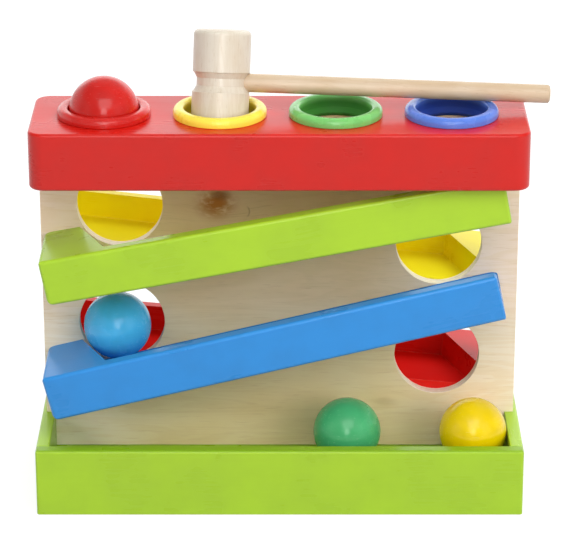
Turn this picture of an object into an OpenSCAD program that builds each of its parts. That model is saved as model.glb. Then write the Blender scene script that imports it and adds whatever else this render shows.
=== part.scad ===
// Ball pounding toy: four balls, four soft rings, four zigzag ramps on one panel, a catch tray and a hammer.
// Millimetres. X runs along the toy, Y from front to back with the panel's middle at 0, Z up from the table.

/* [Balls] */
// ball diameter
ball_d = 45; // [44.6:0.1:45.6]
// play between ball and trough
trough_play = 1.4; // [1:0.1:2]

/* [Tray] */
// outer width of the tray
tray_w = 322; // [318:1:334]
// outer depth of the tray, front to back
tray_d = 136; // [134:1:150]
// height of the tray walls
tray_h = 46; // [40:0.5:47]
// thickness of the tray walls
tray_wall = 9; // [8:0.5:10]
// thickness of the floor board
floor_t = 21.5; // [16:0.5:22]

/* [Panel] */
// thickness of the panel
panel_t = 8; // [7:0.5:10]
// how far the panel's sides stand in from the tray's
panel_inset = 3; // [2:0.5:5]
// diameter of the four ball holes
hole_d = 57; // [55:0.5:58]
// distance of the hole centres from the middle
hole_x = 105.5; // [103:0.5:108]

/* [Ramps] */
// length of a ramp
ramp_l = 305; // [295:1:308]
// height of a ramp bar
ramp_h = 31; // [29:0.5:32]
// thickness of a ramp's outer wall
ramp_wall = 8.6; // [7:0.2:9]
// depth of the trough
trough_deep = 17.5; // [16:0.5:18]
// slope of the green ramp in degrees
green_slope = 10.8; // [10.4:0.1:11]
// slope of the blue ramp in degrees
blue_slope = 13.7; // [13.4:0.1:13.8]
// slope of the yellow ramp in degrees
yellow_slope = 6.7; // [6.4:0.1:6.8]
// slope of the red ramp in degrees
red_slope = 5.4; // [5.1:0.1:5.4]
// length of the end block beside the panel
stop_near = 24; // [20:1:25]
// length of the end block beside the outer wall
stop_far = 43; // [38:1:46]

/* [Block] */
// height of the block's underside
block_z = 227.5; // [227:0.5:234]
// height of the block
block_h = 38; // [37:0.5:44]
// depth of the block, front to back
block_d = 82; // [78:1:88]
// how far the block's ends stand in from the tray's
block_inset = 1.5; // [0:0.5:3]
// thickness of the plate that carries the rings
plate_t = 8; // [7.5:0.1:8.2]

/* [Rings] */
// distance between ring centres
ring_pitch = 74.5; // [73:0.5:75]
// outer diameter of the ring bead
ring_od = 60.5; // [59:0.5:62]
// height of the ring bead
bead_h = 6; // [5:0.2:6.4]
// how much the soft lip overlaps the ball, per side
lip_grip = 1.1; // [0.8:0.1:1.3]

/* [Hammer] */
// diameter of the hammer head
head_d = 37; // [34:0.5:37]
// length of the hammer head
head_l = 67; // [62:0.5:68]
// diameter of the head's waist
waist_d = 31.5; // [30:0.5:32.5]
// width of the head's waist
waist_w = 12; // [11:0.5:13]
// length of the slope on either side of the waist
waist_slope = 3.5; // [3:0.5:4]
// diameter of the handle
handle_d = 12; // [11:0.5:12]
// length of the handle from the head's middle
handle_l = 212; // [200:1:220]

/* [Hidden] */
$fn = 72;
// overshoot of cuts
cut = 1;
// play of a body that moves
gap = 0.3;
// glue play around a dowel
glue = 0.05;
ball_r = ball_d / 2;
trough_w = ball_d + trough_play;
face = panel_t / 2;
lane = face + trough_w / 2;
ramp_d = trough_w + ramp_wall;
// corner radii
edge_r = 2.5;
tip_r = 6;
block_r = 10;
block_e = 2;
rim_r = 2;
// panel
panel_w = tray_w - 2 * panel_inset;
foot_w = tray_w - 2 * tray_wall;
tongue_in = 13;
tongue_w = panel_w - 2 * tongue_in;
// the tongue reaches up to the plate, where it shows through the rings
tongue_h = block_h - plate_t - glue;
// block
block_w = tray_w - 2 * block_inset;
block_top = block_z + block_h;
block_front = -lane - block_d / 2;
channel_in = 20;
channel_play = 1;
channel_l = block_w - 2 * channel_in;
channel_w = trough_w + channel_play;
// rings
bore_play = 3.5;
bore_r = ball_r + bore_play;
lip_r = ball_r - lip_grip;
lip_z = -5.2;
lip_h = 0.8;
mouth_play = 0.5;
mouth_r = ball_r + mouth_play;
seat_play = 0.4;
seat_r = ball_r + seat_play;
seat_up = 3.2;
seat_z = lip_z + seat_up;
throat_z = 0.5;
lip_root = 0.1;
bead_foot_r = 0.6;
// rounding of the bead's outer and inner top edge, as shares of its height
bead_out = 0.6;
bead_in = 0.35;
ring_x0 = -1;
// ramps: height of the top corner at the low end
tip_x = 156;
green_tip = 175.4;
blue_tip = 93.5;
yellow_tip = 151.6;
red_tip = 78.3;
// dowels
dowel_d = 6;
dowel_in = 5.5;
dowel_out = 17.5;
dowel_end = 0.5;
dowel_step = 60;
pin_d = 5;
pin_in = 6;
pin_out = 16;
pin_front = [-120, -40, 40, 120];
pin_side = [-34, 34];
// drop of each hole's lowest point under the trough that feeds it
drops = [0.5, 0.5, 4, 5.5];
// balls
ball_z = floor_t + ball_r + gap;
tray_lane = -tray_d / 4 + tray_wall / 2 - face / 2;
green_ball_x = 45;
yellow_ball_x = foot_w / 2 - ball_r - gap;
red_ball_z = block_top + lip_z + sqrt(pow(ball_r + gap, 2) - pow(lip_r, 2));
blue_ball_x = -108.5;
blue_ball_y = -6;
// hammer
head_r = head_d / 2;
head_end_r = 3.5;
waist_e = 0.8;
hammer_up = 20.6;
hammer_z = block_top + hammer_up;
hammer_yaw = 1.6;
head_shift = -0.8;
// the head leans back, and its lower front edge rests in the seat of the yellow ring
hammer_lean = 15;
edge_y = (head_l / 2 - head_end_r) * sin(hammer_lean) + (head_r - head_end_r) * cos(hammer_lean);
edge_z = (head_l / 2 - head_end_r) * cos(hammer_lean) - (head_r - head_end_r) * sin(hammer_lean);
edge_up = hammer_up - edge_z - lip_z;
seat_in = seat_r - lip_r;
seat_l = sqrt(pow(seat_up, 2) + pow(seat_in, 2));
hammer_back = edge_y - lip_r + ((head_end_r + gap) * seat_l - edge_up * seat_in) / seat_up;
// the handle's underside rests on the far side of the blue ring's bead
bead_top_r = ring_od / 2 - bead_h * bead_out;
rest_x = 2 * ring_pitch + head_shift;
rest_mid = rest_x * cos(hammer_yaw) - hammer_back * sin(hammer_yaw);
rest_half = sqrt(pow(bead_top_r, 2) + pow(rest_mid, 2) - pow(rest_x, 2) - pow(hammer_back, 2));
rest_run = rest_mid + rest_half;
rest_up = hammer_up - bead_h;
rest_far = sqrt(pow(rest_up, 2) + pow(rest_run, 2));
hammer_dip = acos((handle_d / 2 + gap) / rest_far) - atan2(rest_run, rest_up);
handle_in = 12;
handle_end = 1;

// height of a trough floor at a distance in from the ramp's low tip
function floor_at(tip, slope, run) = tip + run * tan(slope) - trough_deep / cos(slope);
// place of ring number i, counted from the left
function ring_x(i) = ring_x0 + (i - 1.5) * ring_pitch;
// heights of the four hole centres
hole_r = hole_d / 2;
run_near = tip_x - hole_x;
hole_ul = floor_at(green_tip, green_slope, run_near) - drops[0] + hole_r;
hole_ur = floor_at(yellow_tip, yellow_slope, run_near) - drops[1] + hole_r;
hole_ml = floor_at(blue_tip, blue_slope, run_near) - drops[2] + hole_r;
hole_lr = floor_at(red_tip, red_slope, run_near) - drops[3] + hole_r;
blue_ball_z = floor_at(blue_tip, blue_slope, tip_x + blue_ball_x) + (ball_r + gap) / cos(blue_slope);

// flat rectangle from the origin with round corners: a and b at the low side, c and d at the high side
module rounded(w, h, a, b, c, d) {
  difference() {
    square([w, h]);
    corner_cut(0, 0, a, 0);
    corner_cut(w, 0, b, 90);
    corner_cut(w, h, c, 180);
    corner_cut(0, h, d, 270);
  }
}

module corner_cut(x, y, r, turn) {
  if (r > 0)
    translate([x, y])
      rotate(turn)
        difference() {
          translate([-cut, -cut])
            square([r + cut, r + cut]);
          translate([r, r])
            circle(r);
        }
}

// block w by d by h from the origin, upright corners of radius p, all other edges of radius e
module soft_block(w, d, h, p, e) {
  for (x = [p, w - p])
    for (y = [p, d - p])
      translate([x, y, 0])
        rotate_extrude()
          rounded(p, h, 0, e, e, 0);
  translate([p, 0, 0])
    rotate([90, 0, 90])
      linear_extrude(w - 2 * p)
        rounded(d, h, e, e, e, e);
  translate([0, d - p, 0])
    rotate([90, 0, 0])
      linear_extrude(d - 2 * p)
        rounded(w, h, e, e, e, e);
}

// one ramp lying flat: low end at x 0, panel side at y 0, body towards -y
module flat_ramp() {
  difference() {
    translate([0, -ramp_d, 0])
      intersection() {
        linear_extrude(ramp_h)
          rounded(ramp_l, ramp_d, edge_r, edge_r, tip_r, tip_r);
        translate([0, ramp_d, 0])
          rotate([90, 0, 0])
            linear_extrude(ramp_d)
              rounded(ramp_l, ramp_h, tip_r, edge_r, edge_r, edge_r);
        rotate([90, 0, 90])
          linear_extrude(ramp_l)
            rounded(ramp_d, ramp_h, edge_r, 0, 0, edge_r);
      }
    translate([0, 0, ramp_h - trough_deep])
      linear_extrude(trough_deep + cut)
        polygon([
          [stop_near, cut],
          [stop_near, 0],
          [stop_far, -trough_w],
          [ramp_l + cut, -trough_w],
          [ramp_l + cut, cut]
        ]);
    ramp_bores();
  }
}

module ramp_bores() {
  for (i = [-1 : 1])
    translate([ramp_l / 2 + i * dowel_step, cut, (ramp_h - trough_deep) / 2])
      rotate([90, 0, 0])
        cylinder(d = dowel_d + 2 * glue, h = dowel_out + dowel_end + cut);
}

module ramp_pins(grow, extra) {
  for (i = [-1 : 1])
    translate([ramp_l / 2 + i * dowel_step, dowel_in + extra, (ramp_h - trough_deep) / 2])
      rotate([90, 0, 0])
        cylinder(d = dowel_d + 2 * grow, h = dowel_in + extra + dowel_out);
}

// put a lying ramp in front of the panel, rising to the right
module in_front(tip, slope) {
  translate([-tip_x, -face, tip])
    rotate([0, -slope, 0])
      translate([0, 0, -ramp_h])
        children();
}

// put a lying ramp behind the panel, rising to the left
module behind(tip, slope) {
  rotate([0, 0, 180])
    in_front(tip, slope)
      children();
}

module tray_floor() {
  color([0.66, 0.83, 0.24])
    difference() {
      translate([-foot_w / 2, -tray_d / 2 + tray_wall, 0])
        cube([foot_w, tray_d - 2 * tray_wall, floor_t]);
      tray_pins(glue, dowel_end);
    }
}

module tray_pins(grow, extra) {
  pin_l = pin_in + pin_out + 2 * extra;
  for (s = [0, 180])
    rotate([0, 0, s]) {
      for (x = pin_front)
        translate([x, -tray_d / 2 + tray_wall - pin_in - extra, floor_t / 2])
          rotate([-90, 0, 0])
            cylinder(d = pin_d + 2 * grow, h = pin_l);
      for (y = pin_side)
        translate([foot_w / 2 - pin_out - extra, y, floor_t / 2])
          rotate([0, 90, 0])
            cylinder(d = pin_d + 2 * grow, h = pin_l);
    }
}

module tray_dowels() {
  color([0.82, 0.68, 0.48])
    tray_pins(0, 0);
}

module long_wall() {
  difference() {
    translate([-tray_w / 2, -tray_d / 2, 0])
      intersection() {
        linear_extrude(tray_h)
          rounded(tray_w, tray_wall, rim_r, rim_r, 0, 0);
        translate([0, tray_wall, 0])
          rotate([90, 0, 0])
            linear_extrude(tray_wall)
              rounded(tray_w, tray_h, 0, 0, rim_r, rim_r);
        rotate([90, 0, 90])
          linear_extrude(tray_w)
            rounded(tray_wall, tray_h, 0, 0, rim_r / 2, rim_r);
      }
    tray_pins(glue, dowel_end);
  }
}

module tray_front_wall() {
  color([0.66, 0.83, 0.24])
    long_wall();
}

module tray_rear_wall() {
  color([0.66, 0.83, 0.24])
    rotate([0, 0, 180])
      long_wall();
}

module end_wall() {
  difference() {
    translate([-tray_w / 2, tray_d / 2 - tray_wall, 0])
      rotate([90, 0, 0])
        linear_extrude(tray_d - 2 * tray_wall)
          rounded(tray_wall, tray_h, 0, 0, rim_r / 2, rim_r);
    tray_pins(glue, dowel_end);
  }
}

module tray_left_wall() {
  color([0.66, 0.83, 0.24])
    end_wall();
}

module tray_right_wall() {
  color([0.66, 0.83, 0.24])
    rotate([0, 0, 180])
      end_wall();
}

module panel_outline() {
  translate([-foot_w / 2, floor_t])
    square([foot_w, tray_h - floor_t + cut]);
  translate([-panel_w / 2, tray_h])
    square([panel_w, block_z - tray_h]);
  translate([-tongue_w / 2, block_z - cut])
    square([tongue_w, tongue_h + cut]);
}

module ball_holes() {
  translate([-hole_x, hole_ul])
    circle(hole_r);
  translate([hole_x, hole_ur])
    circle(hole_r);
  translate([-hole_x, hole_ml])
    circle(hole_r);
  translate([hole_x, hole_lr])
    circle(hole_r);
}

module panel() {
  color([0.86, 0.76, 0.6])
    difference() {
      translate([0, face, 0])
        rotate([90, 0, 0])
          linear_extrude(panel_t)
            difference() {
              panel_outline();
              ball_holes();
            }
      all_ramp_pins(glue, dowel_end);
    }
}

module all_ramp_pins(grow, extra) {
  in_front(green_tip, green_slope)
    ramp_pins(grow, extra);
  in_front(blue_tip, blue_slope)
    ramp_pins(grow, extra);
  behind(yellow_tip, yellow_slope)
    ramp_pins(grow, extra);
  behind(red_tip, red_slope)
    ramp_pins(grow, extra);
}

module top_block() {
  color([0.84, 0.19, 0.17])
    difference() {
      translate([-block_w / 2, block_front, block_z])
        soft_block(block_w, block_d, block_h, block_r, block_e);
      translate([-channel_l / 2, -face - channel_w, block_z - cut])
        linear_extrude(block_h - plate_t + cut)
          rounded(channel_l, channel_w, tip_r, tip_r, tip_r, tip_r);
      translate([-tongue_w / 2 - glue, -face - glue, block_z - cut])
        cube([tongue_w + 2 * glue, panel_t + 2 * glue, tongue_h + glue + cut]);
      for (i = [0 : 3])
        translate([ring_x(i), -lane, block_top - plate_t - cut])
          cylinder(r = bore_r, h = plate_t + 2 * cut);
    }
}

// half section of a ring: radius along x, height over the block's top along y
module ring_section() {
  ring_r = ring_od / 2;
  translate([mouth_r, 0])
    rounded(ring_r - mouth_r, bead_h, 0, bead_foot_r, bead_h * bead_out, bead_h * bead_in);
  translate([mouth_r, -plate_t])
    square([bore_r - mouth_r, plate_t + cut]);
  polygon([
    [mouth_r + lip_root, throat_z],
    [seat_r, seat_z],
    [lip_r, lip_z],
    [lip_r, lip_z - lip_h],
    [mouth_r, -plate_t],
    [mouth_r + lip_root, -plate_t]
  ]);
}

module ring(i) {
  translate([ring_x(i), -lane, block_top])
    rotate_extrude()
      ring_section();
}

module red_ring() {
  color([0.86, 0.16, 0.14])
    ring(0);
}

module yellow_ring() {
  color([0.98, 0.85, 0.2])
    ring(1);
}

module green_ring() {
  color([0.3, 0.7, 0.35])
    ring(2);
}

module blue_ring() {
  color([0.22, 0.42, 0.85])
    ring(3);
}

module green_ramp() {
  color([0.66, 0.83, 0.24])
    difference() {
      in_front(green_tip, green_slope)
        flat_ramp();
      translate([-tray_w, -tray_d, block_z])
        cube([2 * tray_w, 2 * tray_d, block_h]);
    }
}

module blue_ramp() {
  color([0.25, 0.57, 0.86])
    in_front(blue_tip, blue_slope)
      flat_ramp();
}

module yellow_ramp() {
  color([0.95, 0.83, 0.1])
    behind(yellow_tip, yellow_slope)
      flat_ramp();
}

module red_ramp() {
  color([0.84, 0.19, 0.17])
    behind(red_tip, red_slope)
      flat_ramp();
}

module green_ramp_dowels() {
  color([0.82, 0.68, 0.48])
    in_front(green_tip, green_slope)
      ramp_pins(0, 0);
}

module blue_ramp_dowels() {
  color([0.82, 0.68, 0.48])
    in_front(blue_tip, blue_slope)
      ramp_pins(0, 0);
}

module yellow_ramp_dowels() {
  color([0.82, 0.68, 0.48])
    behind(yellow_tip, yellow_slope)
      ramp_pins(0, 0);
}

module red_ramp_dowels() {
  color([0.82, 0.68, 0.48])
    behind(red_tip, red_slope)
      ramp_pins(0, 0);
}

module red_ball() {
  color([0.84, 0.15, 0.15])
    translate([ring_x(0), -lane, red_ball_z])
      sphere(ball_r);
}

module blue_ball() {
  color([0.2, 0.5, 0.75])
    translate([blue_ball_x, blue_ball_y, blue_ball_z])
      sphere(ball_r);
}

module green_ball() {
  color([0.2, 0.59, 0.37])
    translate([green_ball_x, tray_lane, ball_z])
      sphere(ball_r);
}

module yellow_ball() {
  color([0.96, 0.84, 0.12])
    translate([yellow_ball_x, tray_lane, ball_z])
      sphere(ball_r);
}

// put a hammer piece in its place: head's middle at the origin, handle along +x
module in_hand() {
  translate([ring_x(1) - head_shift, hammer_back - lane, hammer_z])
    rotate([0, hammer_dip, hammer_yaw])
      rotate([-hammer_lean, 0, 0])
        children();
}

// half the outline of the head, from its axis out: two drums joined by a waist with sloping shoulders
module head_outline() {
  step = waist_w / 2;
  neck = waist_d / 2;
  flat = step - waist_slope;
  shoulder = head_r - waist_e;
  for (up = [0, 1])
    mirror([0, up])
      translate([0, step])
        rounded(head_r, head_l / 2 - step, 0, waist_e, head_end_r, 0);
  polygon([
    [0, -step - cut], [shoulder, -step - cut], [shoulder, -step], [neck, -flat],
    [neck, flat], [shoulder, step], [shoulder, step + cut], [0, step + cut]
  ]);
}

module hammer_head() {
  color([0.91, 0.84, 0.73])
    in_hand()
      difference() {
        rotate_extrude()
          head_outline();
        translate([-handle_in - dowel_end, 0, 0])
          rotate([0, 90, 0])
            cylinder(d = handle_d + 2 * glue, h = head_d + handle_in);
      }
}

module hammer_handle() {
  color([0.91, 0.84, 0.73])
    in_hand()
      translate([-handle_in, 0, 0])
        rotate([0, 90, 0])
          union() {
            cylinder(d = handle_d, h = handle_l + handle_in - handle_end);
            translate([0, 0, handle_l + handle_in - handle_end])
              cylinder(d1 = handle_d, d2 = handle_d - 2 * handle_end, h = handle_end);
          }
}

tray_floor();
tray_front_wall();
tray_rear_wall();
tray_left_wall();
tray_right_wall();
tray_dowels();
panel();
top_block();
red_ring();
yellow_ring();
green_ring();
blue_ring();
green_ramp();
yellow_ramp();
blue_ramp();
red_ramp();
green_ramp_dowels();
yellow_ramp_dowels();
blue_ramp_dowels();
red_ramp_dowels();
red_ball();
blue_ball();
green_ball();
yellow_ball();
hammer_head();
hammer_handle();
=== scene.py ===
from math import degrees, radians

import bpy
from mathutils import Euler, Matrix, Vector


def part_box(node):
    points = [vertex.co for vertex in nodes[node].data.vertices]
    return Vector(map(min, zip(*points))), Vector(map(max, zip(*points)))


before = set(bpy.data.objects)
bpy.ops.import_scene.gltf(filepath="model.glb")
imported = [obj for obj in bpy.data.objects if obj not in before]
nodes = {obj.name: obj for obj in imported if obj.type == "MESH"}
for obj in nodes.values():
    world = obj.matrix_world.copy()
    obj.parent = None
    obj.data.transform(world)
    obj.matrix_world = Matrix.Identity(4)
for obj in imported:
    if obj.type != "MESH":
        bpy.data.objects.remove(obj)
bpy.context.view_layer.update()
scene = bpy.context.scene

# Slopes of the ramps and the turn of the hammer, in degrees, as they are in the solids
SLOPES = {"green_ramp": 10.8, "blue_ramp": 13.7, "yellow_ramp": -6.7, "red_ramp": -5.4}
HAMMER_LEAN, HAMMER_DIP, HAMMER_YAW = -15.0, 2.74, 1.6

# Marks on the front face of the panel, and the thickness of two of its layers, in metres
PANEL_FACE = -0.004
KNOT, STAIN = (-0.039, PANEL_FACE, 0.2022), (-0.042, PANEL_FACE, 0.196)
PIN_KNOT, MARK = (-0.0225, PANEL_FACE, 0.1905), (0.071, PANEL_FACE, 0.0535)
TWO_LAYERS = 0.0032

# Width of the worn edges of the paint, and the depths under a ramp's rim from which its floor turns dull
WORN_EDGE = 0.0014
TRACK_FROM, TRACK_TO = 0.003, 0.009

# A ring is painted in shade, a deeper tone, between these depths under its top and these distances from its
# axis
PAINTED_SHADE_DEPTH_FROM, PAINTED_SHADE_DEPTH_TO = 0.0010, 0.0050
PAINTED_SHADE_REACH_FROM, PAINTED_SHADE_REACH_TO = 0.0250, 0.0234

# Refraction, and the height of the bump in metres
PAINT_IOR, WOOD_IOR, RUBBER_IOR = 1.5, 1.48, 1.5
PAINT_BUMP, BALL_BUMP, RUBBER_BUMP = 0.00005, 0.00004, 0.00002
PLYWOOD_BUMP, BEECH_BUMP = 0.00012, 0.00010

# Colours, linear
WHITE = (1, 1, 1)
UNDERCOAT = (0.9, 0.86, 0.78)


def srgb(red, green, blue):
    """A colour given in the usual 0 to 255 numbers, as the linear one that shaders take."""
    parts = [v / 255 for v in (red, green, blue)]
    return tuple(v / 12.92 if v <= 0.04045 else ((v + 0.055) / 1.055) ** 2.4 for v in parts)


def shade(colour, factor):
    return tuple(min(1.0, v * factor) for v in colour)


def blend(colour, other, share):
    return tuple(a + (b - a) * share for a, b in zip(colour, other))


def rich(colour):
    """A deeper, purer tone of a colour, as in a corner that is lit by its own walls."""
    return tuple(min(1.0, 1.05 * v ** 1.25) for v in colour)


def unturned(matrix):
    """The turn, in degrees, that brings a piece back from the turn of the matrix."""
    return tuple(degrees(v) for v in matrix.inverted().to_euler())


def rim_of(name):
    """Height of a ramp's rim once its slope is turned away."""
    level = Matrix.Rotation(radians(SLOPES[name]), 3, "Y")
    return max((level @ v.co).z for v in nodes[name].data.vertices)


class Nodes:
    """The shader nodes of a material or a world, put together step by step."""

    def __init__(self, owner):
        owner.use_nodes = True
        self.tree = owner.node_tree
        self.tree.nodes.clear()

    def put(self, target, value):
        if isinstance(value, bpy.types.NodeSocket):
            self.tree.links.new(value, target)
        elif target.type == "RGBA":
            target.default_value = (*value, 1.0)
        else:
            target.default_value = value

    def add(self, kind, inputs, output=0, **settings):
        node = self.tree.nodes.new(kind)
        for name, value in settings.items():
            setattr(node, name, value)
        for name, value in inputs.items():
            self.put(node.inputs[name], value)
        return node.outputs[output]

    def moved(self, vector, turn=(0, 0, 0), scale=(1, 1, 1), shift=(0, 0, 0)):
        turn = tuple(radians(v) for v in turn)
        return self.add("ShaderNodeMapping", {"Vector": vector, "Rotation": turn, "Scale": scale,
                                              "Location": shift})

    def noise(self, vector, scale, detail=3.0, rough=0.5, twist=0.0):
        return self.add("ShaderNodeTexNoise", {"Vector": vector, "Scale": scale, "Detail": detail,
                                               "Roughness": rough, "Distortion": twist})

    def span(self, value, low, high, first=0.0, last=1.0):
        """Value from low to high, brought smoothly to first to last."""
        return self.add("ShaderNodeMapRange", {0: value, 1: low, 2: high, 3: first, 4: last},
                        interpolation_type="SMOOTHSTEP")

    def math(self, kind, first, second=0.0):
        return self.add("ShaderNodeMath", {0: first, 1: second}, operation=kind)

    def mix(self, share, first, second, kind="MIX"):
        return self.add("ShaderNodeMix", {0: share, 6: first, 7: second}, 2, data_type="RGBA",
                        blend_type=kind)

    def part(self, vector, axis):
        return self.add("ShaderNodeSeparateXYZ", {0: vector}, axis)

    def rays(self, *kinds):
        """One for the named kinds of ray, and nought for the rest."""
        path = self.tree.nodes.new("ShaderNodeLightPath")
        last = path.outputs[kinds[0]]
        for kind in kinds[1:]:
            last = self.math("MAXIMUM", last, path.outputs[kind])
        return last

    def choice(self, share, first, second):
        return self.add("ShaderNodeMixShader", {0: share, 1: first, 2: second})

    def end(self, kind, shader):
        self.tree.links.new(shader, self.tree.nodes.new(kind).inputs["Surface"])


class Surface(Nodes):
    """A node material in the coordinates of the part."""

    def __init__(self, name):
        self.material = bpy.data.materials.new(name)
        super().__init__(self.material)
        self.here = self.add("ShaderNodeTexCoord", {}, "Object")

    def edges(self, radius):
        """One along the edges of a piece, within the radius, and nought on its faces."""
        soft = self.add("ShaderNodeBevel", {"Radius": radius}, samples=6)
        true = self.add("ShaderNodeNewGeometry", {}, "Normal")
        near = self.add("ShaderNodeVectorMath", {0: soft, 1: true}, "Value", operation="DOT_PRODUCT")
        return self.span(near, 0.995, 0.80)

    def bump(self, height, depth):
        return self.add("ShaderNodeBump", {"Height": height, "Strength": 1.0, "Distance": depth})

    def facing(self, axis):
        return self.part(self.add("ShaderNodeNewGeometry", {}, "True Normal"), axis)

    def far(self, point, stretch):
        """Distance from a point of the part, with each axis stretched."""
        shift = tuple(-p * q for p, q in zip(point, stretch))
        away = self.moved(self.here, scale=stretch, shift=shift)
        return self.add("ShaderNodeVectorMath", {0: away}, "Value", operation="LENGTH")

    def done(self, **inputs):
        sockets = {name.replace("_", " "): value for name, value in inputs.items()}
        self.end("ShaderNodeOutputMaterial", self.add("ShaderNodeBsdfPrincipled", sockets))
        return self.material


def painted_wood(name, colour, turn=(0, 0, 0), seed=0.0, rim=None, shine=0.34, wear=0.40, painted_shade_faces=()):
    """Gloss paint over a planed board, whose grain runs along x after the turn and shows faintly.

    Below the rim of a ramp, the floor of the trough is worn dull by the balls that run there, and is
    painted a deeper tone there, as of light bounced between the trough's walls. The faces that look
    along the given directions, each an axis and its sign, are painted in shade, a deeper, darker tone.
    """
    s = Surface(name)
    along = s.moved(s.here, turn)
    board = s.moved(along, scale=(5, 110, 110), shift=(seed, seed, seed))
    grain = s.noise(board, 3.2, 4, 0.6, 0.4)
    fine = s.noise(s.moved(along, scale=(18, 420, 420), shift=(seed, 0, seed)), 2.6, 2, 0.5)
    cloud = s.noise(s.moved(s.here, shift=(seed, 0, 0)), 26, 3, 0.55)
    specks = s.noise(s.here, 900, 2, 0.5)
    chips = s.span(s.noise(s.here, 160, 3), 0.35, 0.65, 0.35, 1.0)
    edge = s.math("MULTIPLY", s.edges(WORN_EDGE), chips)
    body = s.mix(s.span(cloud, 0.3, 0.7), shade(colour, 0.95), shade(colour, 1.04))
    body = s.mix(s.span(grain, 0.38, 0.80, 0.0, 0.07), body, shade(colour, 0.86))
    body = s.mix(s.span(fine, 0.40, 0.80, 0.0, 0.05), body, shade(colour, 0.84))
    # Painted shade: faces turned along these directions, such as the inside of the tray, get a deeper,
    # darker tone
    for axis, sign in painted_shade_faces:
        painted_shade = s.span(s.math("MULTIPLY", s.facing(axis), sign), 0.20, 0.85)
        body = s.mix(painted_shade, body, shade(rich(colour), 0.74))
    worn = blend(shade(colour, 1.12), UNDERCOAT, 0.28)
    body = s.mix(s.math("MULTIPLY", edge, wear), body, worn)
    gloss = s.math("ADD", s.span(cloud, 0.3, 0.75, 0.25, 0.35), s.span(grain, 0.40, 0.8, 0.0, 0.05))
    coat = 0.15
    if rim is not None:
        # Painted shade: the trough floor gets a deeper tone, as of light bounced between its walls; it is
        # also rougher and loses its coat, worn dull by the balls
        low = s.span(s.part(along, "Z"), rim - TRACK_FROM, rim - TRACK_TO)
        dull_track_and_painted_shade = s.math("MULTIPLY", low, s.span(s.facing("Z"), 0.70, 0.95))
        body = s.mix(s.math("MULTIPLY", dull_track_and_painted_shade, 0.85), body, rich(colour))
        gloss = s.math("ADD", gloss, s.math("MULTIPLY", dull_track_and_painted_shade, 0.50))
        coat = s.span(dull_track_and_painted_shade, 0.0, 1.0, coat, 0.0)
    height = s.math("ADD", s.math("MULTIPLY", grain, 0.6), s.math("MULTIPLY", specks, 0.15))
    return s.done(Base_Color=body, Roughness=gloss, Normal=s.bump(height, PAINT_BUMP), IOR=PAINT_IOR,
                  Specular_IOR_Level=shine, Coat_Weight=coat, Coat_Roughness=0.10)


def painted_ball(name, colour, seed=0.0):
    """A turned wooden ball under several coats of gloss paint."""
    s = Surface(name)
    cloud = s.noise(s.moved(s.here, shift=(seed, seed, 0)), 60, 3, 0.5)
    rings = s.noise(s.moved(s.here, scale=(60, 60, 900), shift=(seed, 0, 0)), 1.0, 2, 0.5, 0.3)
    peel = s.noise(s.here, 650, 2, 0.5)
    scuff = s.noise(s.moved(s.here, (35, 20, 50), (40, 900, 900), (seed, 0, 0)), 1.2, 2, 0.55)
    body = s.mix(s.span(cloud, 0.3, 0.7), shade(colour, 0.92), shade(colour, 1.06))
    body = s.mix(s.span(rings, 0.55, 0.75, 0.0, 0.16), body, shade(colour, 0.76))
    body = s.mix(s.span(scuff, 0.66, 0.76, 0.0, 0.25), body, blend(colour, WHITE, 0.30))
    gloss = s.math("ADD", s.span(cloud, 0.3, 0.7, 0.21, 0.28), s.span(scuff, 0.62, 0.76, 0.0, 0.12))
    height = s.math("ADD", s.math("MULTIPLY", peel, 0.5), s.math("MULTIPLY", rings, 0.35))
    return s.done(Base_Color=body, Roughness=gloss, Normal=s.bump(height, BALL_BUMP), IOR=PAINT_IOR,
                  Specular_IOR_Level=0.36, Coat_Weight=0.20, Coat_Roughness=0.12)


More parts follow.
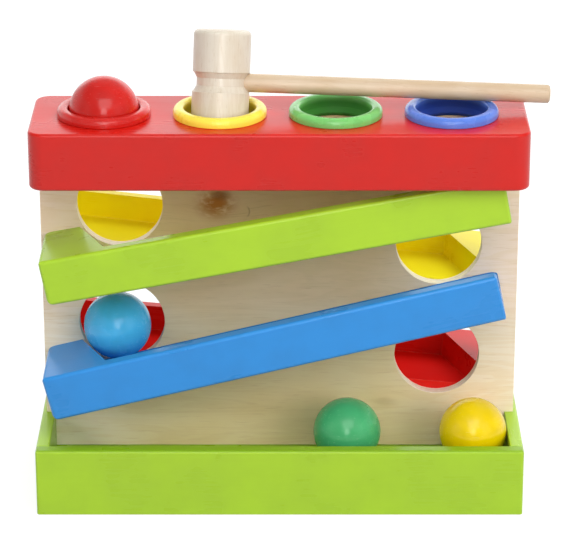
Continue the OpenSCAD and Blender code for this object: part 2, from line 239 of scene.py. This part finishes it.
def plywood(name):
    """Birch plywood under thin lacquer: grain along x, a knot, and the layers on its edges."""
    s = Surface(name)
    pale, mid, dark = srgb(252, 228, 182), srgb(246, 217, 164), srgb(214, 176, 120)
    knot_far = s.far(KNOT, (0.62, 0.0, 1.0))
    pull = s.span(knot_far, 0.030, 0.002)
    squeeze = s.moved(s.here, scale=(0.0, 0.0, -0.55), shift=(0.0, 0.0, 0.55 * KNOT[2]))
    bent = s.add("ShaderNodeVectorMath", {0: s.here, 1: squeeze}, operation="ADD")
    bent = s.add("ShaderNodeMix", {0: pull, 4: s.here, 5: bent}, 1, data_type="VECTOR")
    waves = s.noise(s.moved(bent, scale=(4.0, 30, 34)), 1.5, 3, 0.5, 0.7)
    bands = s.math("FRACT", s.math("MULTIPLY", waves, 9.0))
    line = s.math("MULTIPLY", s.span(bands, 0.0, 0.75), s.span(bands, 1.0, 0.80))
    fibre = s.noise(s.moved(bent, scale=(14, 300, 520)), 1.6, 3, 0.6)
    pores = s.noise(s.moved(bent, scale=(70, 600, 1500)), 1.0, 1, 0.4)
    cloud = s.noise(s.moved(s.here, scale=(1, 1, 2.2)), 13, 3, 0.5)
    face = s.mix(s.span(cloud, 0.3, 0.7), mid, pale)
    # Painted light: paler towards the sides, which lie out of the shade of the block and the ramps
    painted_light_at_sides = s.math("ADD", s.math("ABSOLUTE", s.part(s.here, "X")), s.math("MULTIPLY", waves, 0.030))
    face = s.mix(s.span(painted_light_at_sides, 0.075, 0.160, 0.0, 0.80), face, srgb(255, 240, 219))
    # Painted shade: a tint over the shaded part of the panel, a little redder and darker above the blue
    # ramp than below it
    high = s.span(s.part(s.here, "Z"), 0.100, 0.135)
    face = s.mix(high, face, (1.0, 0.93, 0.96), "MULTIPLY")
    face = s.mix(s.span(line, 0.25, 1.0, 0.0, 0.22), face, blend(mid, dark, 0.40))
    face = s.mix(s.span(fibre, 0.52, 0.74, 0.0, 0.26), face, blend(mid, dark, 0.55))
    face = s.mix(s.span(pores, 0.66, 0.76, 0.0, 0.32), face, dark)
    rough = s.math("MULTIPLY", s.noise(s.here, 480, 2, 0.5), 0.0016)
    knot = s.span(s.math("ADD", knot_far, rough), 0.0062, 0.0018)
    patchy = s.span(s.noise(s.moved(bent, scale=(1, 1, 3)), 130, 3, 0.6), 0.24, 0.56)
    stain = s.math("MULTIPLY", s.span(s.far(STAIN, (0.8, 0.0, 1.0)), 0.0150, 0.0020), patchy)
    face = s.mix(s.math("MULTIPLY", stain, 0.92), face, srgb(198, 118, 38))
    face = s.mix(s.math("MULTIPLY", knot, 0.62), face, srgb(140, 78, 30))
    # A pin knot, seen as a short dark arc, and a faint brown mark low on the right
    pin = s.far(PIN_KNOT, (1.0, 0.0, 0.7))
    arc = s.math("MULTIPLY", s.span(pin, 0.0016, 0.0025), s.span(pin, 0.0034, 0.0025))
    arc = s.math("MULTIPLY", arc, s.span(s.part(s.here, "X"), PIN_KNOT[0], PIN_KNOT[0] + 0.003))
    face = s.mix(s.math("MULTIPLY", arc, 0.50), face, srgb(160, 108, 52))
    mark = s.span(s.far(MARK, (1.0, 0.0, 2.6)), 0.012, 0.001, 0.0, 0.30)
    face = s.mix(mark, face, srgb(186, 150, 104))
    # The layers show on the rims of the holes and the outline, where the surface doesn't face y
    depth = s.math("MULTIPLY", s.part(s.here, "Y"), 1 / TWO_LAYERS)
    layer = s.math("FRACT", s.math("ADD", depth, 10.25))
    across = s.math("MULTIPLY", s.span(layer, 0.40, 0.52), s.span(layer, 1.0, 0.90))
    glue = s.math("MULTIPLY", s.span(layer, 0.38, 0.46), s.span(layer, 0.54, 0.46))
    patches = s.span(s.noise(s.here, 420, 3, 0.6), 0.3, 0.7)
    rim = s.mix(patches, srgb(255, 246, 228), srgb(250, 238, 212))
    rim = s.mix(s.math("MULTIPLY", across, 0.20), rim, srgb(220, 194, 154))
    rim = s.mix(s.math("MULTIPLY", glue, 0.22), rim, srgb(170, 132, 90))
    side = s.span(s.math("ABSOLUTE", s.facing("Y")), 0.85, 0.55)
    colour = s.mix(side, face, rim)
    gloss = s.math("ADD", s.span(fibre, 0.35, 0.75, 0.42, 0.54), s.math("MULTIPLY", side, 0.14))
    height = s.math("SUBTRACT", s.math("MULTIPLY", fibre, 0.5), s.span(pores, 0.64, 0.76, 0.0, 0.8))
    return s.done(Base_Color=colour, Roughness=gloss, Normal=s.bump(height, PLYWOOD_BUMP), IOR=WOOD_IOR,
                  Specular_IOR_Level=0.18)


def turned_wood(name, centre, turn, tint, seed=0.0):
    """Pale beech, turned on a lathe, whose grain runs along x after the turn."""
    s = Surface(name)
    tones = (243, 229, 206), (235, 216, 187), (208, 178, 138)
    pale, mid, dark = (tuple(a * b for a, b in zip(srgb(*tone), tint)) for tone in tones)
    local = s.moved(s.moved(s.here, shift=tuple(-v for v in centre)), turn)
    waves = s.noise(s.moved(local, scale=(5, 44, 60), shift=(seed, 0, seed)), 2.0, 3, 0.5, 0.5)
    bands = s.math("FRACT", s.math("MULTIPLY", waves, 7.0))
    line = s.math("MULTIPLY", s.span(bands, 0.0, 0.8), s.span(bands, 1.0, 0.84))
    flecks = s.noise(s.moved(local, scale=(130, 800, 800), shift=(seed, 0, 0)), 1.4, 1, 0.4)
    fibre = s.noise(s.moved(local, scale=(16, 420, 420)), 1.5, 3, 0.6)
    cloud = s.noise(local, 36, 2, 0.5)
    colour = s.mix(s.span(cloud, 0.3, 0.7), mid, pale)
    colour = s.mix(s.span(line, 0.3, 1.0, 0.0, 0.20), colour, blend(mid, dark, 0.45))
    colour = s.mix(s.span(fibre, 0.52, 0.75, 0.0, 0.15), colour, blend(mid, dark, 0.55))
    colour = s.mix(s.span(flecks, 0.63, 0.72, 0.0, 0.20), colour, dark)
    normal = s.moved(s.add("ShaderNodeNewGeometry", {}, "True Normal"), turn)
    end = s.span(s.math("ABSOLUTE", s.part(normal, "X")), 0.80, 0.97)
    colour = s.mix(s.math("MULTIPLY", end, 0.45), colour, blend(mid, dark, 0.55))
    gloss = s.span(fibre, 0.3, 0.75, 0.34, 0.46)
    height = s.math("ADD", s.math("MULTIPLY", fibre, 0.6), s.span(flecks, 0.62, 0.74, 0.0, -0.5))
    return s.done(Base_Color=colour, Roughness=gloss, Normal=s.bump(height, BEECH_BUMP), IOR=WOOD_IOR,
                  Coat_Weight=0.45, Coat_Roughness=0.20)


def rubber(name, ring, colour, seed=0.0):
    """Soft moulded rubber, satin on the bead; inside the ring where the lip is, shade is painted in a
    deeper tone and the rubber is matte.
    """
    s = Surface(name)
    cloud = s.noise(s.moved(s.here, shift=(seed, 0, 0)), 70, 3, 0.5)
    fine = s.noise(s.here, 1500, 2, 0.5)
    low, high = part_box(ring)
    middle = (low + high) / 2
    # Painted shade: inside the ring under the lip the colour gets a deeper, darker tone; there it is also
    # rougher and has no coat
    below = s.span(s.part(s.here, "Z"), high.z - PAINTED_SHADE_DEPTH_FROM, high.z - PAINTED_SHADE_DEPTH_TO)
    inner = s.span(s.far(middle, (1, 1, 0)), PAINTED_SHADE_REACH_FROM, PAINTED_SHADE_REACH_TO)
    painted_shade_inside = s.math("MULTIPLY", below, inner)
    body = s.mix(s.span(cloud, 0.3, 0.7), shade(colour, 0.96), shade(colour, 1.03))
    body = s.mix(s.span(fine, 0.45, 0.8, 0.0, 0.08), body, blend(colour, WHITE, 0.35))
    body = s.mix(s.math("MULTIPLY", painted_shade_inside, 0.95), body, shade(rich(rich(colour)), 0.55))
    gloss = s.math("ADD", s.span(cloud, 0.3, 0.7, 0.22, 0.31), s.math("MULTIPLY", painted_shade_inside, 0.40))
    coat = s.span(painted_shade_inside, 0.0, 1.0, 0.50, 0.0)
    return s.done(Base_Color=body, Roughness=gloss, Normal=s.bump(fine, RUBBER_BUMP), IOR=RUBBER_IOR,
                  Specular_IOR_Level=0.36, Coat_Weight=coat, Coat_Roughness=0.10,
                  Subsurface_Weight=0.30, Subsurface_Radius=(0.8, 0.6, 0.5), Subsurface_Scale=0.004)


LIME = srgb(171, 211, 46)
RED = srgb(203, 25, 15)
BLUE = srgb(48, 142, 218)
YELLOW = srgb(255, 238, 6)
DEEP_RED = srgb(228, 26, 18)
# Each ramp's material, colour, seed and shine
RAMPS = {
    "green_ramp": ("lime_ramp", LIME, 7.0, 0.34),
    "blue_ramp": ("blue_ramp", BLUE, 8.0, 0.34),
    "yellow_ramp": ("yellow_ramp", YELLOW, 9.0, 0.24),
    "red_ramp": ("red_ramp", DEEP_RED, 10.0, 0.18),
}
RINGS = {"red": (198, 27, 20), "yellow": (254, 230, 80), "green": (118, 196, 106), "blue": (90, 128, 216)}
BALLS = {"red": (196, 29, 22), "blue": (74, 184, 238), "green": (72, 172, 110), "yellow": (239, 205, 0)}
HEAD_TINT, HANDLE_TINT = (0.80, 0.83, 0.88), (0.70, 0.625, 0.55)
DOWEL_TINT = (0.82, 0.80, 0.76)

surfaces = {
    # Painted shade: the faces inside the tray, and the top of its front wall, get a deeper, darker tone
    "tray_floor": painted_wood("lime_floor", LIME, seed=1.0, painted_shade_faces=(("Z", 1),)),
    "tray_front_wall": painted_wood("lime_front_wall", LIME, seed=2.0, wear=0.10,
                                    painted_shade_faces=(("Z", 1), ("Y", 1))),
    "tray_rear_wall": painted_wood("lime_rear_wall", LIME, seed=3.0, painted_shade_faces=(("Y", -1),)),
    "tray_left_wall": painted_wood("lime_left_wall", LIME, (0, 0, 90), 4.0, painted_shade_faces=(("X", 1),)),
    "tray_right_wall": painted_wood("lime_right_wall", LIME, (0, 0, 90), 5.0, painted_shade_faces=(("X", -1),)),
    "top_block": painted_wood("red_block", RED, seed=6.0),
    "panel": plywood("birch_plywood"),
}
for name, (title, colour, seed, shine) in RAMPS.items():
    surfaces[name] = painted_wood(title, colour, (0, SLOPES[name], 0), seed, rim_of(name), shine)
for seed, (name, colour) in enumerate(RINGS.items(), 1):
    surfaces[name + "_ring"] = rubber(name + "_rubber", name + "_ring", srgb(*colour), seed)
for seed, (name, colour) in enumerate(BALLS.items(), 1):
    surfaces[name + "_ball"] = painted_ball(name + "_ball", srgb(*colour), seed)
head_low, head_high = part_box("hammer_head")
head_at = tuple((head_low + head_high) / 2)
along_handle = Euler([radians(v) for v in (HAMMER_LEAN, HAMMER_DIP, HAMMER_YAW)]).to_matrix()
along_head = along_handle @ Matrix.Rotation(radians(-90), 3, "Y")
HAMMER = {"head": (along_head, HEAD_TINT, 1.0), "handle": (along_handle, HANDLE_TINT, 2.0)}
for name, (along, tint, seed) in HAMMER.items():
    surfaces["hammer_" + name] = turned_wood("beech_" + name, head_at, unturned(along), tint, seed)
for name in ("tray", *RAMPS):
    surfaces[name + "_dowels"] = turned_wood(name + "_beech_dowels", (0, 0, 0), (0, 0, 90), DOWEL_TINT, 3.0)

for name, piece in nodes.items():
    piece.data.materials.clear()
    piece.data.materials.append(surfaces[name])


def smooth_group():
    """Geometry nodes that drop the normals of the import and shade every face smooth."""
    group = bpy.data.node_groups.new("shade_smooth", "GeometryNodeTree")
    group.interface.new_socket("Geometry", in_out="INPUT", socket_type="NodeSocketGeometry")
    group.interface.new_socket("Geometry", in_out="OUTPUT", socket_type="NodeSocketGeometry")
    first = group.nodes.new("NodeGroupInput")
    drop = group.nodes.new("GeometryNodeRemoveAttribute")
    drop.inputs["Name"].default_value = "custom_normal"
    smooth = group.nodes.new("GeometryNodeSetShadeSmooth")
    last = group.nodes.new("NodeGroupOutput")
    group.links.new(first.outputs[0], drop.inputs[0])
    group.links.new(drop.outputs[0], smooth.inputs[0])
    group.links.new(smooth.outputs[0], last.inputs[0])
    return group


SMOOTH = smooth_group()


def ease(name, width):
    """Rounds the sharp edges of a solid by real geometry, as a sander and the paint do."""
    piece = nodes[name]
    weld = piece.modifiers.new("weld", "WELD")
    weld.merge_threshold = 1e-6
    flat = piece.modifiers.new("flat", "DECIMATE")
    flat.decimate_type = "DISSOLVE"
    flat.angle_limit = radians(0.2)
    edge = piece.modifiers.new("edge", "BEVEL")
    edge.width = width
    edge.segments = 3
    edge.limit_method = "ANGLE"
    edge.angle_limit = radians(35)
    piece.modifiers.new("smooth", "NODES").node_group = SMOOTH
    piece.modifiers.new("normals", "WEIGHTED_NORMAL").keep_sharp = False


# Width of the rounding of each board's edges, in metres
ROUNDING = {
    "tray_floor": 0.0008, "tray_front_wall": 0.0012, "tray_rear_wall": 0.0012, "tray_left_wall": 0.0012,
    "tray_right_wall": 0.0012, "panel": 0.0010, "top_block": 0.0007, "green_ramp": 0.0011,
    "yellow_ramp": 0.0011, "blue_ramp": 0.0011, "red_ramp": 0.0011,
}
for name, width in ROUNDING.items():
    ease(name, width)


def studio_floor():
    """White to the camera, with the toy's shadow on it, and a plain grey to the light it throws back."""
    half, level = 6.0, -0.0003
    mesh = bpy.data.meshes.new("floor")
    corners = [(-half, -half, level), (half, -half, level), (half, half, level), (-half, half, level)]
    mesh.from_pydata(corners, [], [(0, 1, 2, 3)])
    floor = bpy.data.objects.new("floor", mesh)
    scene.collection.objects.link(floor)
    s = Surface("white_floor")
    plain = s.add("ShaderNodeBsdfDiffuse", {"Color": (0.36, 0.36, 0.36)})
    pale = s.add("ShaderNodeBsdfDiffuse", {"Color": (0.30, 0.30, 0.30)})
    away = s.far((0, 0, 0), (1, 1, 1))
    glow = s.add("ShaderNodeEmission", {"Strength": s.span(away, 0.6, 1.5, 0.80, 1.0)})
    both = s.add("ShaderNodeAddShader", {0: pale, 1: glow})
    seen = s.rays("Is Camera Ray", "Is Glossy Ray", "Is Transmission Ray")
    s.end("ShaderNodeOutputMaterial", s.choice(seen, plain, both))
    mesh.materials.append(s.material)


def studio_world(fill, ceiling):
    """White for the camera, an even fill, and in gloss a white sweep behind under a dim ceiling."""
    scene.world = bpy.data.worlds.new("studio")
    s = Nodes(scene.world)

    def light(strength):
        return s.add("ShaderNodeBackground", {"Color": WHITE, "Strength": strength})

    way = s.add("ShaderNodeTexCoord", {}, "Generated")
    behind = s.span(s.part(way, "Y"), -0.35, 0.25)
    low = s.span(s.part(way, "Z"), 0.72, 0.36)
    room = s.choice(s.math("MULTIPLY", behind, low), light(ceiling), light(1.0))
    plain = s.choice(s.rays("Is Glossy Ray"), light(fill), room)
    full = s.choice(s.rays("Is Camera Ray", "Is Transmission Ray"), plain, light(1.0))
    s.end("ShaderNodeOutputWorld", full)


def softbox(name, place, target, size, watts, in_gloss=True, in_diffuse=True):
    """A rectangular lamp that looks at the target, and may be left out of gloss or of plain light."""
    data = bpy.data.lights.new(name, "AREA")
    data.shape = "RECTANGLE"
    data.size, data.size_y = size
    data.energy = watts
    lamp = bpy.data.objects.new(name, data)
    lamp.location = place
    toward = [b - a for a, b in zip(place, target)]
    lamp.rotation_euler = Vector(toward).to_track_quat("-Z", "Y").to_euler()
    lamp.visible_camera = False
    lamp.visible_glossy = in_gloss
    lamp.visible_diffuse = in_diffuse
    scene.collection.objects.link(lamp)


studio_floor()
studio_world(fill=0.03, ceiling=0.30)
TOY = (0, 0, 0.15)
softbox("overhead", (0.12, -0.60, 1.55), TOY, (1.8, 1.2), 10.0, in_gloss=False)
softbox("key", (0.10, -1.25, 1.35), TOY, (1.2, 0.9), 8.0)
softbox("front", (0.05, -1.9, 0.95), TOY, (0.32, 0.28), 1.8, in_gloss=False)
softbox("glint", (0.0, -1.9, 0.80), TOY, (0.6, 0.7), 6.5, in_diffuse=False)
softbox("right", (1.30, -1.1, 0.80), TOY, (1.1, 1.2), 20.0, in_gloss=False)
softbox("left", (-1.40, -0.8, 0.70), TOY, (1.0, 1.0), 9.0, in_gloss=False)
softbox("rear", (0.2, 1.0, 1.35), (0, 0.05, 0.15), (1.6, 1.0), 17.0, in_gloss=False)
softbox("sweep", (0.0, 2.2, 0.85), (0, 0, 0.25), (3.0, 1.2), 6.5)

CAMERA_PLACE, CAMERA_DOWN = (0.00684, -1.8, 0.8498), 21.4
camera = bpy.data.objects.new("camera", bpy.data.cameras.new("camera"))
camera.location = CAMERA_PLACE
camera.rotation_euler = (radians(90 - CAMERA_DOWN), 0, 0)
camera.data.lens = 179.9
camera.data.sensor_width = 36.0
scene.collection.objects.link(camera)
scene.camera = camera
scene.view_settings.view_transform = "Standard"
